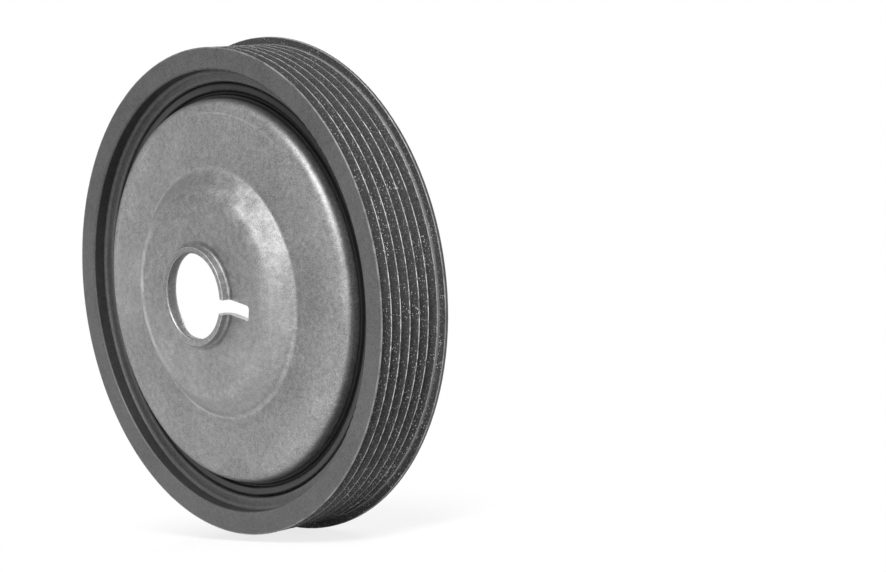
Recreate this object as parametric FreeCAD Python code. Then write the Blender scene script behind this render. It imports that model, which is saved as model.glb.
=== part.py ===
"""Ribbed belt pulley with a rubber damper: a grooved cast-iron ring, a bonded
rubber ring and a deep-drawn sheet-steel hub.

Millimetres. The axis of rotation is Y and the front of the pulley looks
towards -Y. The origin is the centre of the bore, on the flat rear face of the
hub that seats on the end of the crankshaft. +Z is up as the pulley stands, and
the slot in the hub points to +X and a little down.

Every turned or drawn piece is one outline in the X-Y plane, where X is the
radius, revolved round Y. Stations along Y are measured from the seat.
"""
import FreeCAD
import Part

import os
from math import cos, radians, sin, tan

Vector = FreeCAD.Vector

# Belt profile: six grooves of the PK ribbed-belt section
GROOVE_COUNT = 6
GROOVE_PITCH = 3.56
GROOVE_ANGLE = 40.0
CREST_RADIUS = 75.2
CREST_ROUND = 0.30
ROOT_ROUND = 0.50

# Outer ring, from the crests inwards and from the front lip to the rear flange
LIP_WIDTH = 0.43
LAND_WIDTH = 1.13
FLANGE_WIDTH = 1.5
FLANGE_HEIGHT = 2.3
FLANGE_ROUND = 0.4
FLANGE_REAR_ROUND = 0.7
FLANGE_FILLET = 0.3
LAND_ROUND = 0.15
LIP_FRONT_ROUND = 0.2
LIP_REAR_ROUND = 0.1
FACE_WIDTH = 7.0
SHELF_WIDTH = 3.8
RECESS_DEPTH = 4.9
RECESS_EDGE_ROUND = 0.7
RECESS_FILLET = 1.1
RING_BORE_TAPER = 0.6
RING_BORE_FRONT_ROUND = 0.9
RING_BORE_REAR_ROUND = 1.1

# Drilled spot on the rear face of the ring
SPOT_DIAMETER = 5.2
SPOT_FULL_DEPTH = 0.5
SPOT_POINT_ANGLE = 118.0
SPOT_INSET = 5.1
SPOT_ANGLE = 101.3

# Rubber ring
RUBBER_THICKNESS = 5.0
RUBBER_FRONT_INSET = 0.6
RUBBER_REAR_INSET = 0.2
RUBBER_FRONT_OUTER_ROUND = 1.0
RUBBER_LIP_WIDTH = 0.95
RUBBER_LIP_ROUND = 0.2
RUBBER_GROOVE_WIDTH = 1.3
RUBBER_GROOVE_DEPTH = 1.4
RUBBER_GROOVE_ROOT_ROUND = 0.3
RUBBER_CROWN_ROUND = 1.0
RUBBER_REAR_INNER_ROUND = 0.35
RUBBER_REAR_OUTER_ROUND = 0.6

# Hub: sheet, cup wall and locking bead
SHEET = 2.4
RIM_INSET = 0.2
RIM_ROUND = 0.35
CUP_CORNER_ROUND = 3.2
CUP_INNER_CORNER_ROUND = 0.7
BEAD_DEPTH = 0.9
BEAD_START = 12.4
BEAD_RISE = 1.6
BEAD_RUNOUT = 0.7
BEAD_START_ROUND = 0.4
BEAD_CREST_ROUND = 1.8
BEAD_END_ROUND = 1.6
DRAW_MARK_START = 6.0
DRAW_MARK_WIDTH = 3.9
DRAW_MARK_DEPTH = 0.15

# Hub: slightly coned web, domed boss, collar and bore
RING_OFFSET = 5.3
WEB_RISE_ANGLE = 3.7
WEB_SETBACK = 0.45
BOSS_CONE_ANGLE = 44.0
BOSS_RADIUS = 31.5
BOSS_ROUND = 5.0
BOSS_FOOT_FILLET = 0.8
BOSS_FOOT_REAR_ROUND = 10.0
SEAT_BEVEL_WIDTH = 1.33
SEAT_BEVEL_ANGLE = 32.0
COLLAR_WALL = 2.0
COLLAR_HEIGHT = 2.8
COLLAR_ROUND = 0.25
COLLAR_FILLET = 0.8
BORE_RADIUS = 13.2
BORE_FRONT_ROUND = 0.9
BORE_REAR_ROUND = 3.0

# Radial slot from the bore through the collar and the boss
SLOT_WIDTH = 4.55
SLOT_REACH = 24.4
SLOT_ANGLE = -16.1
SLOT_UPPER_END_ROUND = 1.2
SLOT_LOWER_END_ROUND = 0.4

# Radii that the sizes above give, from the outside inwards
FLANGE_RADIUS = CREST_RADIUS + FLANGE_HEIGHT
RECESS_RADIUS = CREST_RADIUS - FACE_WIDTH
RING_BORE_FRONT = RECESS_RADIUS - SHELF_WIDTH
RING_BORE_REAR = RING_BORE_FRONT + RING_BORE_TAPER
HUB_RADIUS = RING_BORE_FRONT - RUBBER_THICKNESS
COLLAR_RADIUS = BORE_RADIUS + COLLAR_WALL

# Groove flanks, carried on to the points where they would meet
FLANK = radians(GROOVE_ANGLE / 2)
CREST_POINT = CREST_RADIUS + CREST_ROUND * (1 / sin(FLANK) - 1)
ROOT_POINT = CREST_POINT - GROOVE_PITCH / 2 / tan(FLANK)
HALF_MOUTH = (CREST_RADIUS - ROOT_POINT) * tan(FLANK)

# Stations along Y that the sizes above give
RING_FRONT = RING_OFFSET
FIRST_GROOVE = RING_FRONT + LIP_WIDTH + HALF_MOUTH
LAST_GROOVE = FIRST_GROOVE + (GROOVE_COUNT - 1) * GROOVE_PITCH
FLANGE_FRONT = LAST_GROOVE + HALF_MOUTH + LAND_WIDTH
RING_REAR = FLANGE_FRONT + FLANGE_WIDTH
RECESS_FLOOR = RING_FRONT + RECESS_DEPTH
RIM_REAR = RING_REAR - RIM_INSET
BOSS_FACE = -SHEET
COLLAR_FACE = BOSS_FACE - COLLAR_HEIGHT
RUBBER_FRONT = RECESS_FLOOR + RUBBER_FRONT_INSET
RUBBER_REAR = RING_REAR - RUBBER_REAR_INSET
BEAD_START_AT = RING_REAR - BEAD_START
BEAD_CREST_AT = BEAD_START_AT - BEAD_RISE
BEAD_END_AT = RUBBER_FRONT - BEAD_RUNOUT


def crossing(first, first_angle, second, second_angle):
    """Where two lines meet, each given by a point and an angle in degrees."""
    a = Vector(cos(radians(first_angle)), sin(radians(first_angle)), 0)
    b = Vector(cos(radians(second_angle)), sin(radians(second_angle)), 0)
    gap = Vector(second[0] - first[0], second[1] - first[1], 0)
    along = (gap.x * b.y - gap.y * b.x) / (a.x * b.y - a.y * b.x)
    return first[0] + along * a.x, first[1] + along * a.y


def beside(point, angle, distance):
    """A point moved square to a direction, to its left when positive."""
    turn = radians(angle + 90)
    return point[0] + distance * cos(turn), point[1] + distance * sin(turn)


def outline(corners):
    """A closed face in the X-Y plane from (x, y, rounding) corners."""
    places = [Vector(x, y, 0) for x, y, _ in corners]
    starts = []
    ends = []
    arcs = []
    for index, (x, y, rounding) in enumerate(corners):
        here = places[index]
        before = (places[index - 1] - here).normalize()
        after = (places[(index + 1) % len(places)] - here).normalize()
        if rounding == 0:
            starts.append(here)
            ends.append(here)
            arcs.append(None)
            continue
        half = before.getAngle(after) / 2
        reach = rounding / tan(half)
        middle = (before + after).normalize()
        top = here + middle * (rounding / sin(half) - rounding)
        starts.append(here + before * reach)
        ends.append(here + after * reach)
        arcs.append(Part.Arc(starts[-1], top, ends[-1]))
    edges = []
    for index, arc in enumerate(arcs):
        if arc:
            edges.append(arc.toShape())
        next_start = starts[(index + 1) % len(starts)]
        if ends[index].distanceToPoint(next_start) > 1e-6:
            edges.append(Part.LineSegment(ends[index], next_start).toShape())
    return Part.Face(Part.Wire(edges))


def turned(corners):
    """A solid of revolution round Y from the corners of half its section."""
    return outline(corners).revolve(Vector(0, 0, 0), Vector(0, 1, 0), 360)


def ring_bore_at(station):
    """Radius of the ring's tapered bore at a station along Y."""
    share = (station - RECESS_FLOOR) / (RING_REAR - RECESS_FLOOR)
    return RING_BORE_FRONT + share * (RING_BORE_REAR - RING_BORE_FRONT)


def groove_corners():
    """Corners of the grooved outside, from the front lip to the rear land."""
    corners = [(CREST_RADIUS, RING_FRONT, LIP_FRONT_ROUND),
               (CREST_RADIUS, FIRST_GROOVE - HALF_MOUTH, LIP_REAR_ROUND)]
    for index in range(GROOVE_COUNT):
        centre = FIRST_GROOVE + index * GROOVE_PITCH
        corners.append((ROOT_POINT, centre, ROOT_ROUND))
        if index < GROOVE_COUNT - 1:
            corners.append((CREST_POINT, centre + GROOVE_PITCH / 2, CREST_ROUND))
    corners.append((CREST_RADIUS, LAST_GROOVE + HALF_MOUTH, LAND_ROUND))
    return corners


def pulley_ring():
    """Grooved ring with a rear flange, a front recess and a drilled spot."""
    corners = groove_corners()
    corners += [(CREST_RADIUS, FLANGE_FRONT, FLANGE_FILLET),
                (FLANGE_RADIUS, FLANGE_FRONT, FLANGE_ROUND),
                (FLANGE_RADIUS, RING_REAR, FLANGE_REAR_ROUND),
                (RING_BORE_REAR, RING_REAR, RING_BORE_REAR_ROUND),
                (RING_BORE_FRONT, RECESS_FLOOR, RING_BORE_FRONT_ROUND),
                (RECESS_RADIUS, RECESS_FLOOR, RECESS_FILLET),
                (RECESS_RADIUS, RING_FRONT, RECESS_EDGE_ROUND)]
    return turned(corners).cut(drilled_spot())


def drilled_spot():
    """The drill's shape: a short full-diameter length and a conical point."""
    radius = SPOT_DIAMETER / 2
    point_depth = radius / tan(radians(SPOT_POINT_ANGLE / 2))
    angle = radians(SPOT_ANGLE)
    inward = Vector(0, -1, 0)
    reach = CREST_RADIUS - SPOT_INSET
    mouth = Vector(reach * cos(angle), RING_REAR, reach * sin(angle))
    bottom = mouth + inward * SPOT_FULL_DEPTH
    shank = Part.makeCylinder(radius, SPOT_FULL_DEPTH + radius,
                              bottom, Vector(0, 1, 0))
    point = Part.makeCone(radius, 0, point_depth, bottom, inward)
    return shank.fuse(point)


def bead_outside():
    """Outside corners of the locking bead behind the point where it runs out."""
    return [(HUB_RADIUS, BEAD_START_AT, BEAD_START_ROUND + SHEET),
            (HUB_RADIUS - BEAD_DEPTH, BEAD_CREST_AT, BEAD_CREST_ROUND)]


def cup_wall_inside():
    """Inside of the cup wall from the web rearwards, one sheet inside it."""
    inside = HUB_RADIUS - SHEET
    step = inside + DRAW_MARK_DEPTH
    return [(inside, BEAD_END_AT, BEAD_END_ROUND),
            (inside - BEAD_DEPTH, BEAD_CREST_AT, BEAD_CREST_ROUND),
            (inside, BEAD_START_AT, BEAD_START_ROUND),
            (step, RING_REAR - DRAW_MARK_START - DRAW_MARK_WIDTH, 0),
            (step, RING_REAR - DRAW_MARK_START, 0),
            (inside, RIM_REAR - RIM_ROUND * 2, 0)]


def hub_corners():
    """Corners of the drawn sheet: front side inwards, rear side outwards."""
    web_start = (HUB_RADIUS, RING_FRONT + WEB_SETBACK)
    boss_corner = (BOSS_RADIUS, BOSS_FACE)
    foot = crossing(web_start, WEB_RISE_ANGLE, boss_corner, BOSS_CONE_ANGLE)
    rear_web = beside(web_start, WEB_RISE_ANGLE, SHEET)
    rear_cone = beside(boss_corner, BOSS_CONE_ANGLE, SHEET)
    rear_foot = crossing(rear_web, WEB_RISE_ANGLE, rear_cone, BOSS_CONE_ANGLE)
    seat_edge = crossing(rear_cone, BOSS_CONE_ANGLE, (0, 0), 0)[0] - SEAT_BEVEL_WIDTH
    rear_crease = crossing((seat_edge, 0), SEAT_BEVEL_ANGLE, rear_cone, BOSS_CONE_ANGLE)
    inside = HUB_RADIUS - SHEET
    rear_corner = crossing(rear_web, WEB_RISE_ANGLE, (inside, 0), 90)
    front = [web_start + (CUP_CORNER_ROUND,),
             foot + (BOSS_FOOT_FILLET,),
             boss_corner + (BOSS_ROUND,),
             (COLLAR_RADIUS, BOSS_FACE, COLLAR_FILLET),
             (COLLAR_RADIUS, COLLAR_FACE, COLLAR_ROUND)]
    bore = [(BORE_RADIUS, COLLAR_FACE, BORE_FRONT_ROUND),
            (BORE_RADIUS, 0, BORE_REAR_ROUND)]
    rear = [(seat_edge, 0, 0),
            rear_crease + (0,),
            rear_foot + (BOSS_FOOT_REAR_ROUND,),
            rear_corner + (CUP_INNER_CORNER_ROUND,)]
    rim = [(inside, RIM_REAR, RIM_ROUND),
           (HUB_RADIUS, RIM_REAR, RIM_ROUND)]
    bead = bead_outside() + [(HUB_RADIUS, BEAD_END_AT, BEAD_END_ROUND)]
    return front + bore + rear + cup_wall_inside() + rim + bead


def slot_cutter():
    """The radial slot as a prism through the boss and its collar."""
    half = SLOT_WIDTH / 2
    face = outline([(0, -half, 0),
                    (SLOT_REACH, -half, SLOT_LOWER_END_ROUND),
                    (SLOT_REACH, half, SLOT_UPPER_END_ROUND),
                    (0, half, 0)])
    prism = face.extrude(Vector(0, 0, SHEET - COLLAR_FACE + SHEET))
    prism.rotate(Vector(0, 0, 0), Vector(1, 0, 0), 90)
    prism.translate(Vector(0, SHEET, 0))
    prism.rotate(Vector(0, 0, 0), Vector(0, 1, 0), -SLOT_ANGLE)
    return prism


def hub():
    """Drawn cup with its domed boss, collar, bore and slot."""
    return turned(hub_corners()).cut(slot_cutter())


def rubber_ring():
    """Rubber between the cup wall and the ring's bore, bonded to both.

    Its front has a thin lip on the cup wall, a narrow groove and a round crown.
    """
    share = BEAD_RUNOUT / (BEAD_CREST_AT - BEAD_END_AT)
    wall_at_front = HUB_RADIUS - share * BEAD_DEPTH
    lip = HUB_RADIUS + RUBBER_LIP_WIDTH
    groove_root = RUBBER_FRONT + RUBBER_GROOVE_DEPTH
    corners = [(wall_at_front, RUBBER_FRONT, 0),
               (lip, RUBBER_FRONT, RUBBER_LIP_ROUND),
               (lip + RUBBER_GROOVE_WIDTH / 2, groove_root, RUBBER_GROOVE_ROOT_ROUND),
               (lip + RUBBER_GROOVE_WIDTH, RUBBER_FRONT, RUBBER_CROWN_ROUND),
               (ring_bore_at(RUBBER_FRONT), RUBBER_FRONT, RUBBER_FRONT_OUTER_ROUND),
               (ring_bore_at(RUBBER_REAR), RUBBER_REAR, RUBBER_REAR_OUTER_ROUND),
               (HUB_RADIUS, RUBBER_REAR, RUBBER_REAR_INNER_ROUND)]
    return turned(corners + bead_outside())


def main():
    """Build each piece and write it to its own file."""
    os.makedirs("parts", exist_ok=True)
    pieces = {"pulley_ring": pulley_ring(),
              "rubber_ring": rubber_ring(),
              "hub": hub()}
    for name, shape in pieces.items():
        solid = shape.removeSplitter().Solids[0]
        solid.exportStep("parts/" + name + ".step")


main()
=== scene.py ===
"""Looks of the ribbed belt pulley: finishes, floor, light and camera.

Metres. The frame's own meshes are shown as they are, with procedural finishes
that are laid out in millimetres of radius and of distance along the axis, Y.
"""
from math import cos, radians, sin

import bpy
from mathutils import Matrix, Vector

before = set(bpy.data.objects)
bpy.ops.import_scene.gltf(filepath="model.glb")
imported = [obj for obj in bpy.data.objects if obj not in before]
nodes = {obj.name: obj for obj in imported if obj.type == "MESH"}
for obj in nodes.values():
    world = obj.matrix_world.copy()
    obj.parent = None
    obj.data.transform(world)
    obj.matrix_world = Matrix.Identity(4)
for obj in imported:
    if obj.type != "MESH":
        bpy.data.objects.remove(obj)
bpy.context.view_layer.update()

# Photograph's frame and the camera fitted to it, in pixels and millimetres
IMAGE_WIDTH = 886
FOCAL_PIXELS = 2157.2
CAMERA_AT = (535.7, -390.9, 14.7)
CAMERA_RIGHT = (0.6719, 0.7307, -0.1211)
CAMERA_UP = (0.0585, 0.1106, 0.9921)
SENSOR_WIDTH = 36.0

# Stations along Y that the finishes follow, from the front, in millimetres
COLLAR_FACE = -5.2
BOSS_FACE = -2.4
SEAT_SIDE = -0.4
GROOVES_FROM = 5.75
RECESS_FROM = 5.9
RECESS_FLOOR = 10.2
MIDDLE = 17.0
LAND_FROM = 26.75
SPOT_FLOOR = 27.0
FLANGE_FRONT = 27.8
FLANGE_FRONT_EDGE = 27.95
RIM_REAR = 29.1

# Radii that the finishes follow, from the bore outwards, in millimetres
BORE = 13.2
COLLAR = 15.2
SEAT_EDGE = 29.2
BOSS_EDGE = 29.5
FOOT_RADIUS = 38.15
WEB_CORNER = 55.5
CROWN_FROM = 61.7
CROWN_TO = 63.5
RECESS = 68.2
OUTSIDE_FROM = 69.0
CREST = 75.2
FLANGE = 77.5

# The drilled spot on the rear face, in millimetres and degrees
SPOT_RADIUS = 2.6
SPOT_REACH = 70.1
SPOT_ANGLE = 101.3

# Tones of the finishes, as shares of the light that comes back
IRON_FACE = 0.112
IRON_RIM = 0.070
IRON_GROOVES = 0.050
DUST = 0.70
DUST_AT_TOP = 0.42
BARE_CREST = 0.62
BARE_CREST_SHADED_AT_TOP = 0.38
BARE_LAND = 0.29
BARE_SPOT = 0.45
SHEET = 0.228
RUBBER = 0.010
RUBBER_CROWN_HIGHLIGHT = 0.060
FLOOR = 0.92

# The floor: its height and the reaches over which it turns plain white
FLOOR_HEIGHT = -77.5
FLOOR_REACH = 6.0
SHADOW_REACH = (30.0, 110.0)
MIRRORED_REACH = (400.0, 900.0)

# Light of the surroundings on matt surfaces, and as seen or mirrored
WORLD_LIGHT = 0.45
WORLD_SEEN = 1.0

# Lamps: name, direction from the part's centre, size in metres, watts
LAMP_DISTANCE = 0.65
LAMPS = (
    ("key", (0.51, -0.35, 0.78), 0.22, 4.1),
    ("side", (0.95, -0.3, 0.1), 0.3, 0.8),
    ("low_left", (-0.93, -0.36, 0.0), 0.12, 0.15),
    ("rear", (-0.5, 0.8, 0.4), 0.2, 1.8),
)


class Graph:
    """A node tree of shading, with short calls for the nodes used below."""

    def __init__(self, tree, output):
        self.tree = tree
        self.tree.nodes.clear()
        self.output = self.tree.nodes.new(output)

    def link(self, source, socket):
        if isinstance(source, bpy.types.NodeSocket):
            self.tree.links.new(source, socket)
        else:
            socket.default_value = source

    def math(self, operation, first, second=None, clamp=False):
        node = self.tree.nodes.new("ShaderNodeMath")
        node.operation = operation
        node.use_clamp = clamp
        self.link(first, node.inputs[0])
        if second is not None:
            self.link(second, node.inputs[1])
        return node.outputs[0]

    def fold(self, operation, values):
        result = values[0]
        for value in values[1:]:
            result = self.math(operation, result, value)
        return result

    def product(self, *values):
        return self.fold("MULTIPLY", values)

    def total(self, *values):
        return self.fold("ADD", values)

    def largest(self, *values):
        return self.fold("MAXIMUM", values)

    def length(self, first, second):
        """Length of a vector with two components."""
        squares = self.total(self.product(first, first),
                             self.product(second, second))
        return self.math("SQRT", squares)

    def ramp(self, value, low, high, to_low=0.0, to_high=1.0):
        """Value mapped smoothly from low..high onto to_low..to_high."""
        node = self.tree.nodes.new("ShaderNodeMapRange")
        node.interpolation_type = "SMOOTHSTEP"
        self.link(value, node.inputs["Value"])
        for name, number in (("From Min", low), ("From Max", high),
                             ("To Min", to_low), ("To Max", to_high)):
            node.inputs[name].default_value = number
        return node.outputs["Result"]

    def between(self, value, low, high, edge):
        """One where low < value < high, with soft edges of the given width."""
        rising = self.ramp(value, low - edge, low + edge)
        falling = self.ramp(value, high - edge, high + edge, 1.0, 0.0)
        return self.product(rising, falling)

    def line(self, value, at, width):
        """A soft line where value passes at, of the given width."""
        return self.between(value, at - width / 2, at + width / 2, width / 3)

    def place(self):
        """Position in the part's frame in millimetres, its radius and station."""
        coordinates = self.tree.nodes.new("ShaderNodeTexCoord").outputs["Object"]
        scaled = self.tree.nodes.new("ShaderNodeVectorMath")
        scaled.operation = "SCALE"
        self.link(coordinates, scaled.inputs[0])
        scaled.inputs["Scale"].default_value = 1000.0
        self.point = scaled.outputs[0]
        parts = self.tree.nodes.new("ShaderNodeSeparateXYZ")
        self.link(self.point, parts.inputs[0])
        self.x, self.y, self.z = parts.outputs
        self.radius = self.length(self.x, self.z)

    def across(self, x_share, z_share):
        """Distance from the axis along one direction, in millimetres."""
        return self.total(self.product(self.x, x_share),
                          self.product(self.z, z_share))

    def noise(self, scale, detail=2.0, roughness=0.5, at=None):
        """Noise from 0 to 1 whose features measure about 1 / scale mm."""
        node = self.tree.nodes.new("ShaderNodeTexNoise")
        self.link(at or self.point, node.inputs["Vector"])
        node.inputs["Scale"].default_value = scale
        node.inputs["Detail"].default_value = detail
        node.inputs["Roughness"].default_value = roughness
        return node.outputs["Fac"]

    def turning(self, scale, detail=3.0):
        """Noise that runs round the axis, like the marks of a lathe or a die."""
        place = self.tree.nodes.new("ShaderNodeCombineXYZ")
        self.link(self.radius, place.inputs[0])
        self.link(self.y, place.inputs[1])
        return self.noise(scale, detail, 0.6, place.outputs[0])

    def specks(self, scale, size, share):
        """Small round specks, on a share of the cells of a 3-D pattern."""
        node = self.tree.nodes.new("ShaderNodeTexVoronoi")
        self.link(self.point, node.inputs["Vector"])
        node.inputs["Scale"].default_value = scale
        parts = self.tree.nodes.new("ShaderNodeSeparateColor")
        self.link(node.outputs["Color"], parts.inputs[0])
        chosen = self.math("LESS_THAN", parts.outputs[0], share)
        disc = self.ramp(node.outputs["Distance"], size * 0.6, size, 1.0, 0.0)
        return self.product(chosen, disc)

    def blend(self, share, first, second):
        """First where share is 0, second where it is 1."""
        node = self.tree.nodes.new("ShaderNodeMix")
        self.link(share, node.inputs[0])
        self.link(first, node.inputs[2])
        self.link(second, node.inputs[3])
        return node.outputs[0]

    def grey(self, value):
        node = self.tree.nodes.new("ShaderNodeCombineColor")
        for socket in node.inputs:
            self.link(value, socket)
        return node.outputs[0]

    def bump(self, height, distance, under=None):
        """Relief of a height pattern whose full range is distance metres."""
        node = self.tree.nodes.new("ShaderNodeBump")
        node.inputs["Strength"].default_value = 1.0
        node.inputs["Distance"].default_value = distance
        self.link(height, node.inputs["Height"])
        if under is not None:
            self.link(under, node.inputs["Normal"])
        return node.outputs[0]

    def principled(self, color, roughness, normal, metallic=0.0, specular=0.5,
                   coat=0.0, coat_roughness=0.3):
        node = self.tree.nodes.new("ShaderNodeBsdfPrincipled")
        for name, value in (("Base Color", color), ("Roughness", roughness),
                            ("Normal", normal), ("Metallic", metallic),
                            ("Specular IOR Level", specular),
                            ("Coat Weight", coat),
                            ("Coat Roughness", coat_roughness)):
            self.link(value, node.inputs[name])
        self.link(node.outputs[0], self.output.inputs["Surface"])


def new_material(name):
    """A material and its graph, with the position already in place."""
    material = bpy.data.materials.new(name)
    material.use_nodes = True
    graph = Graph(material.node_tree, "ShaderNodeOutputMaterial")
    graph.place()
    return material, graph


def spot_mask(g):
    """One inside the drilled spot on the rear face."""
    angle = radians(SPOT_ANGLE)
    apart = g.length(g.math("SUBTRACT", g.x, SPOT_REACH * cos(angle)),
                     g.math("SUBTRACT", g.z, SPOT_REACH * sin(angle)))
    inside = g.ramp(apart, SPOT_RADIUS, SPOT_RADIUS + 0.12, 1.0, 0.0)
    return g.product(inside, g.ramp(g.y, SPOT_FLOOR, SPOT_FLOOR + 0.1))


def iron_finish():
    """Turned cast iron under a dark phosphate coat: smooth on the faces, rough
    and dusty in the grooves, bare along the crests."""
    material, g = new_material("phosphated_iron_finish")

    # Where the grooves, the land behind them and the crests are
    land = g.total(
        g.product(g.line(g.y, LAND_FROM + 0.12, 0.16), 0.7),
        g.product(g.between(g.y, LAND_FROM, FLANGE_FRONT - 0.2, 0.1), 0.3))
    land = g.product(land, g.ramp(g.radius, CREST - 0.12, CREST - 0.04))
    grooved = g.product(
        g.ramp(g.radius, OUTSIDE_FROM, OUTSIDE_FROM + 1.0),
        g.between(g.y, GROOVES_FROM, FLANGE_FRONT_EDGE, 0.1),
        g.math("SUBTRACT", 1.0, land))
    crest = g.product(
        g.ramp(g.radius, CREST - 0.09, CREST - 0.02),
        g.ramp(g.radius, CREST + 0.05, CREST + 0.15, 1.0, 0.0),
        g.between(g.y, GROOVES_FROM, LAND_FROM, 0.1))

    # The coat on the faces, darker on the flange's rim; painted shade darkens the
    # recess's wall and the ring's top, and painted light lifts the recess's shelf
    # and the ring's bottom
    grain = g.noise(2.4, 4.0, 0.65)
    mottle = g.noise(0.5, 3.0, 0.6)
    cloud = g.noise(0.05, 3.0, 0.55)
    tone = g.total(
        g.ramp(grain, 0.28, 0.72, 0.70, 1.30),
        g.ramp(mottle, 0.3, 0.7, -0.06, 0.06),
        g.ramp(cloud, 0.3, 0.7, -0.07, 0.07),
        # painted shade towards the top of the ring and painted light towards its
        # bottom
        g.ramp(g.z, -60.0, 60.0, 0.08, -0.12))
    rim = g.product(
        g.ramp(g.radius, CREST + 1.2, CREST + 1.4),
        g.ramp(g.y, FLANGE_FRONT_EDGE, FLANGE_FRONT_EDGE + 0.2))
    wall = g.product(
        g.between(g.y, RECESS_FROM, RECESS_FLOOR - 0.9, 0.2),
        g.between(g.radius, RECESS - 1.0, RECESS + 0.6, 0.1))
    shelf = g.product(
        g.ramp(g.y, RECESS_FLOOR - 0.7, RECESS_FLOOR - 0.2),
        g.ramp(g.radius, RECESS - 0.2, RECESS, 1.0, 0.0))
    face = g.product(
        tone,
        g.ramp(rim, 0.0, 1.0, IRON_FACE, IRON_RIM),
        # painted shade in the recess's wall
        g.ramp(wall, 0.0, 1.0, 1.0, 0.45),
        # painted light on the recess's shelf
        g.ramp(shelf, 0.0, 1.0, 1.0, 1.05))

    # The grooves, with thin dust everywhere and thick dust in patches
    rough_grooves = g.product(g.ramp(grain, 0.3, 0.7, 0.4, 1.6), IRON_GROOVES)
    base = g.blend(grooved, face, rough_grooves)
    patches = g.ramp(g.noise(0.10, 3.0, 0.6), 0.38, 0.66)
    thin = g.product(g.specks(2.2, 0.34, 0.28),
                     g.ramp(patches, 0.0, 1.0, 0.35, 1.0))
    thick = g.product(g.specks(1.0, 0.24, 0.16), patches)
    dust = g.product(
        g.largest(thin, thick),
        g.ramp(grooved, 0.0, 1.0, 0.04, 1.0),
        g.ramp(g.z, 15.0, 55.0, DUST, DUST_AT_TOP))

    # Bare metal on the crests, the land, both edges and the spot; painted shade
    # dims the bare crests towards the top and the bottom
    wear = g.product(
        crest, g.ramp(g.noise(0.45, 4.0, 0.75), 0.36, 0.60, 0.1, 1.0))
    bare_and_shaded_crest = g.product(
        wear,
        # painted shade: the bare crests dimmer towards the top and the bottom
        g.ramp(g.z, 15.0, 55.0, BARE_CREST, BARE_CREST_SHADED_AT_TOP),
        g.ramp(g.z, -60.0, -15.0, 0.5, 1.0))
    edge = g.product(
        g.ramp(g.radius, CREST - 0.5, CREST - 0.3),
        g.ramp(g.y, GROOVES_FROM - 0.1, GROOVES_FROM, 1.0, 0.0))
    lip = g.product(
        g.ramp(g.radius, FLANGE - 0.3, FLANGE - 0.1),
        g.ramp(g.y, FLANGE_FRONT_EDGE + 0.05, FLANGE_FRONT_EDGE + 0.25,
               1.0, 0.0))
    worn = g.product(
        g.largest(edge, g.product(lip, 1.6)),
        g.ramp(g.noise(0.2, 4.0, 0.7), 0.35, 0.65, 0.03, 0.14))
    spot = spot_mask(g)
    base = g.total(base, g.largest(
        dust, bare_and_shaded_crest, worn,
        g.product(spot, BARE_SPOT),
        g.product(land, BARE_LAND)))

    bright = g.largest(wear, spot)
    metal = g.largest(g.ramp(grooved, 0.0, 1.0, 0.55, 0.0), bright)
    rough = g.math("SUBTRACT", g.ramp(grain, 0.2, 0.8, 0.50, 0.62),
                   g.product(bright, 0.20))
    relief = g.bump(g.turning(5.0), 0.000006, g.bump(grain, 0.00003))
    g.principled(g.grey(base), rough, relief, metallic=metal, specular=0.3)
    return material


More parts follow.
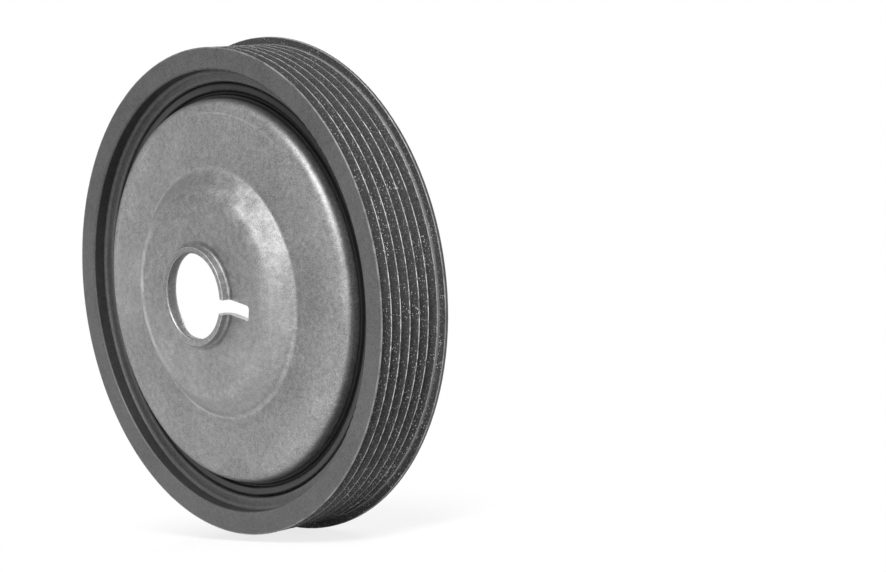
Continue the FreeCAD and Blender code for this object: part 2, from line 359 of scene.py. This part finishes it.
def sheet_finish():
    """Pressed steel under a fine-grained phosphate coat with a satin sheen,
    burnished where the press tools slid on it, and painted light and shade on web
    and boss."""
    material, g = new_material("phosphated_sheet_finish")
    low_right = g.across(0.82, -0.57)
    upper_right = g.across(0.82, 0.57)
    boss = g.ramp(g.radius, FOOT_RADIUS - 2.0, FOOT_RADIUS, 1.0, 0.0)
    cone = g.between(g.radius, BOSS_EDGE, FOOT_RADIUS - 0.5, 1.0)

    # The coat, with painted light at the lower right of the web and of the boss's
    # cone and at the bottom of the hub and the boss, and painted shade at the top
    # of the boss
    grain = g.noise(3.3, 5.0, 0.75)
    mottle = g.noise(0.6, 4.0, 0.65)
    cloud = g.noise(0.045, 3.0, 0.55)
    # painted light: a paler zone at the lower right of the web
    painted_light_low_right = g.product(
        g.ramp(g.radius, 45.0, 55.0),
        g.ramp(low_right, 25.0, 50.0),
        g.ramp(g.noise(1.4, 4.0, 0.75), 0.35, 0.65, 0.1, 1.0))
    tone = g.total(
        g.ramp(grain, 0.30, 0.70, 0.62, 1.38),
        g.ramp(mottle, 0.3, 0.7, -0.16, 0.16),
        g.ramp(cloud, 0.3, 0.7, -0.08, 0.08),
        g.ramp(g.noise(5.5, 2.0, 0.6), 0.32, 0.68, -0.3, 0.3),
        # painted light at the bottom of the boss and painted shade at its top
        g.product(boss, g.ramp(g.z, -30.0, 30.0, 0.16, -0.12)),
        # painted light towards the bottom of the hub
        g.ramp(g.z, -55.0, -15.0, 0.08, 0.0),
        g.product(painted_light_low_right, 0.45),
        # painted light on the boss's cone at the lower right
        g.product(cone, g.ramp(low_right, 0.0, 30.0), 0.22))

    # Light patches, light flecks and dark dots in it
    light = g.product(
        g.ramp(g.noise(0.09, 4.0, 0.65), 0.50, 0.66),
        g.ramp(g.noise(1.1, 4.0, 0.75), 0.46, 0.66))
    flecks = g.product(
        g.specks(1.6, 0.20, 0.25),
        g.ramp(g.noise(0.2, 2.0), 0.45, 0.65, 0.15, 1.0))
    dots = g.product(
        g.specks(1.2, 0.16, 0.16),
        g.ramp(g.noise(0.13, 3.0), 0.5, 0.62))
    base = g.total(g.product(tone, SHEET), g.product(light, 0.10),
                   g.product(flecks, 0.20))
    base = g.math("SUBTRACT", base, g.product(dots, 0.09), clamp=True)

    # Light lines along the boss's foot, burnished and made stronger towards the
    # bottom as painted light, and a painted highlight along the boss's shoulder
    # at the left
    uneven = g.ramp(g.noise(0.25, 3.0, 0.6), 0.3, 0.65, 0.4, 1.0)
    foot = g.product(
        g.line(g.radius, FOOT_RADIUS + 0.3, 1.2),
        g.ramp(g.y, BOSS_FACE, BOSS_FACE + 1.0),
        # painted light: the foot's line stronger towards the bottom
        g.ramp(g.z, -30.0, 5.0, 0.14, 0.06))
    # painted highlight along the shoulder at the left
    shoulder = g.product(
        g.between(g.radius, BOSS_EDGE - 0.2, BOSS_EDGE + 2.2, 0.5),
        g.ramp(g.y, BOSS_FACE + 0.9, BOSS_FACE + 1.8, 1.0, 0.0),
        g.ramp(g.x, -29.0, -15.0, 0.15, 0.0))
    base = g.total(base, g.product(g.largest(foot, shoulder), uneven))

    # Metal burnished by the press tools: streaks at the web's corner, the
    # collar's end and wall, the rear rim and the seat's bevel; and a painted
    # sheen, a painted highlight, on the cone at the upper right
    ripple = g.product(
        g.ramp(g.turning(1.6, 2.0), 0.52, 0.66),
        g.between(g.radius, WEB_CORNER - 5.0, WEB_CORNER + 1.0, 0.8),
        g.ramp(g.noise(0.05, 2.0), 0.38, 0.54, 0.0, 0.9),
        g.ramp(g.z, 5.0, 35.0, 0.2, 1.0))
    end = g.product(
        g.ramp(g.y, COLLAR_FACE + 0.5, COLLAR_FACE + 0.35, 0.0, 1.0),
        g.largest(g.line(g.radius, COLLAR - 0.12, 0.2),
                  g.line(g.radius, BORE + 0.16, 0.16)))
    wall = g.product(
        g.between(g.radius, COLLAR - 0.1, COLLAR + 0.12, 0.06),
        g.ramp(g.y, BOSS_FACE - 0.6, BOSS_FACE - 0.8, 0.0, 1.0))
    rim = g.product(
        g.ramp(g.y, RIM_REAR - 0.25, RIM_REAR - 0.05),
        g.ramp(g.radius, WEB_CORNER - 0.5, WEB_CORNER + 1.0))
    bevel = g.product(
        g.between(g.radius, SEAT_EDGE, SEAT_EDGE + 3.5, 0.5),
        g.ramp(g.y, SEAT_SIDE - 0.5, SEAT_SIDE))
    # painted highlight: a sheen on the cone at the upper right
    sheen = g.product(
        cone,
        g.ramp(upper_right, 24.0, 34.0),
        g.ramp(g.noise(0.12, 3.0, 0.6), 0.42, 0.62))
    rubbed_and_painted_sheen = g.product(uneven, g.largest(
        ripple, end,
        g.product(wall, 0.5),
        g.product(rim, 0.6),
        g.product(bevel, 0.5),
        g.product(sheen, 0.65)))
    base = g.total(base, g.product(rubbed_and_painted_sheen, 0.17))

    # Shade in the collar's inner corner and at the mouth of the bore
    corner = g.product(
        g.between(g.radius, COLLAR + 0.25, COLLAR + 1.6, 0.3),
        g.ramp(g.y, BOSS_FACE + 0.3, BOSS_FACE + 0.1, 0.0, 1.0))
    bore = g.product(
        g.ramp(g.radius, BORE + 0.1, BORE + 0.4, 1.0, 0.0),
        g.ramp(g.y, COLLAR_FACE + 0.3, COLLAR_FACE + 0.7))
    base = g.product(
        base, g.ramp(g.largest(corner, bore), 0.0, 1.0, 1.0, 0.7))

    rough = g.math("SUBTRACT", g.ramp(grain, 0.2, 0.8, 0.42, 0.56),
                   g.product(rubbed_and_painted_sheen, 0.06))
    relief = g.bump(grain, 0.00006, g.bump(mottle, 0.00005))
    g.principled(g.grey(base), rough, relief, metallic=0.85, coat=0.12,
                 coat_roughness=0.4)
    return material


def rubber_finish():
    """Moulded rubber, near black and satin, with fine mould marks and a painted
    highlight along its crown that fades towards the upper right as painted shade."""
    material, g = new_material("rubber_finish")
    grain = g.noise(3.0, 3.0, 0.6)
    cloud = g.noise(0.15, 3.0)
    tone = g.total(
        g.ramp(grain, 0.25, 0.75, 0.9, 1.1),
        g.ramp(cloud, 0.3, 0.7, -0.1, 0.1))
    # painted highlight along the crown, with painted shade towards the upper
    # right
    crown = g.product(
        g.between(g.radius, CROWN_FROM, CROWN_TO, 0.35),
        g.ramp(g.across(0.64, 0.77), 25.0, 60.0, 1.0, 0.3))
    base = g.product(tone, g.ramp(crown, 0.0, 1.0, RUBBER, RUBBER_CROWN_HIGHLIGHT))
    rough = g.ramp(cloud, 0.3, 0.7, 0.42, 0.55)
    relief = g.bump(g.turning(3.0), 0.00003, g.bump(grain, 0.00002))
    g.principled(g.grey(base), rough, relief, specular=0.3)
    return material


def floor_finish():
    """Matt white near the part, so that its shadow shows, and plain white
    further out, also where metal mirrors it."""
    material, g = new_material("floor_finish")
    matt = g.tree.nodes.new("ShaderNodeBsdfDiffuse")
    matt.inputs["Color"].default_value = (FLOOR, FLOOR, FLOOR, 1)
    glow = g.tree.nodes.new("ShaderNodeEmission")
    reach = g.length(g.x, g.math("SUBTRACT", g.y, MIDDLE))
    path = g.tree.nodes.new("ShaderNodeLightPath").outputs
    seen = g.product(
        g.largest(path["Is Camera Ray"], path["Is Transmission Ray"]),
        g.ramp(reach, *SHADOW_REACH, 0.8, 1.0))
    mirrored = g.product(path["Is Glossy Ray"], g.ramp(reach, *MIRRORED_REACH))
    mix = g.tree.nodes.new("ShaderNodeMixShader")
    g.link(g.largest(seen, mirrored), mix.inputs[0])
    g.link(matt.outputs[0], mix.inputs[1])
    g.link(glow.outputs[0], mix.inputs[2])
    g.link(mix.outputs[0], g.output.inputs["Surface"])
    return material


def light_world():
    """White surroundings, which light matt surfaces at a lower level."""
    world = bpy.data.worlds.new("studio")
    bpy.context.scene.world = world
    world.use_nodes = True
    g = Graph(world.node_tree, "ShaderNodeOutputWorld")
    path = g.tree.nodes.new("ShaderNodeLightPath").outputs
    seen = g.largest(path["Is Camera Ray"], path["Is Transmission Ray"],
                     path["Is Glossy Ray"])
    background = g.tree.nodes.new("ShaderNodeBackground")
    background.inputs["Color"].default_value = (1, 1, 1, 1)
    g.link(g.ramp(seen, 0.0, 1.0, WORLD_LIGHT, WORLD_SEEN),
           background.inputs["Strength"])
    g.link(background.outputs[0], g.output.inputs["Surface"])


def soft_lamp(name, direction, size, power):
    """A square lamp in a direction from the part's centre, facing it."""
    data = bpy.data.lights.new(name, "AREA")
    data.size = size
    data.energy = power
    lamp = bpy.data.objects.new(name, data)
    bpy.context.scene.collection.objects.link(lamp)
    away = Vector(direction).normalized()
    lamp.location = away * LAMP_DISTANCE
    lamp.rotation_mode = "QUATERNION"
    lamp.rotation_quaternion = away.to_track_quat("Z", "Y")


def floor():
    mesh = bpy.data.meshes.new("floor")
    height = FLOOR_HEIGHT / 1000
    corners = [(x * FLOOR_REACH, y * FLOOR_REACH, height)
               for x, y in ((-1, -1), (1, -1), (1, 1), (-1, 1))]
    mesh.from_pydata(corners, [], [(0, 1, 2, 3)])
    plane = bpy.data.objects.new("floor", mesh)
    bpy.context.scene.collection.objects.link(plane)
    mesh.materials.append(floor_finish())


def camera():
    data = bpy.data.cameras.new("camera")
    data.sensor_width = SENSOR_WIDTH
    data.lens = FOCAL_PIXELS * SENSOR_WIDTH / IMAGE_WIDTH
    data.clip_start = 0.01
    data.clip_end = 100.0
    view = bpy.data.objects.new("camera", data)
    bpy.context.scene.collection.objects.link(view)
    right = Vector(CAMERA_RIGHT).normalized()
    up = Vector(CAMERA_UP)
    up = (up - up.dot(right) * right).normalized()
    back = right.cross(up)
    turn = Matrix((right, up, back)).transposed().to_4x4()
    view.matrix_world = Matrix.Translation(Vector(CAMERA_AT) / 1000) @ turn
    bpy.context.scene.camera = view


def finish_node(name, material):
    mesh = nodes[name].data
    mesh.materials.clear()
    mesh.materials.append(material)


finish_node("pulley_ring", iron_finish())
finish_node("hub", sheet_finish())
finish_node("rubber_ring", rubber_finish())
floor()
light_world()
for lamp_settings in LAMPS:
    soft_lamp(*lamp_settings)
camera()
bpy.context.scene.view_settings.view_transform = "Standard"
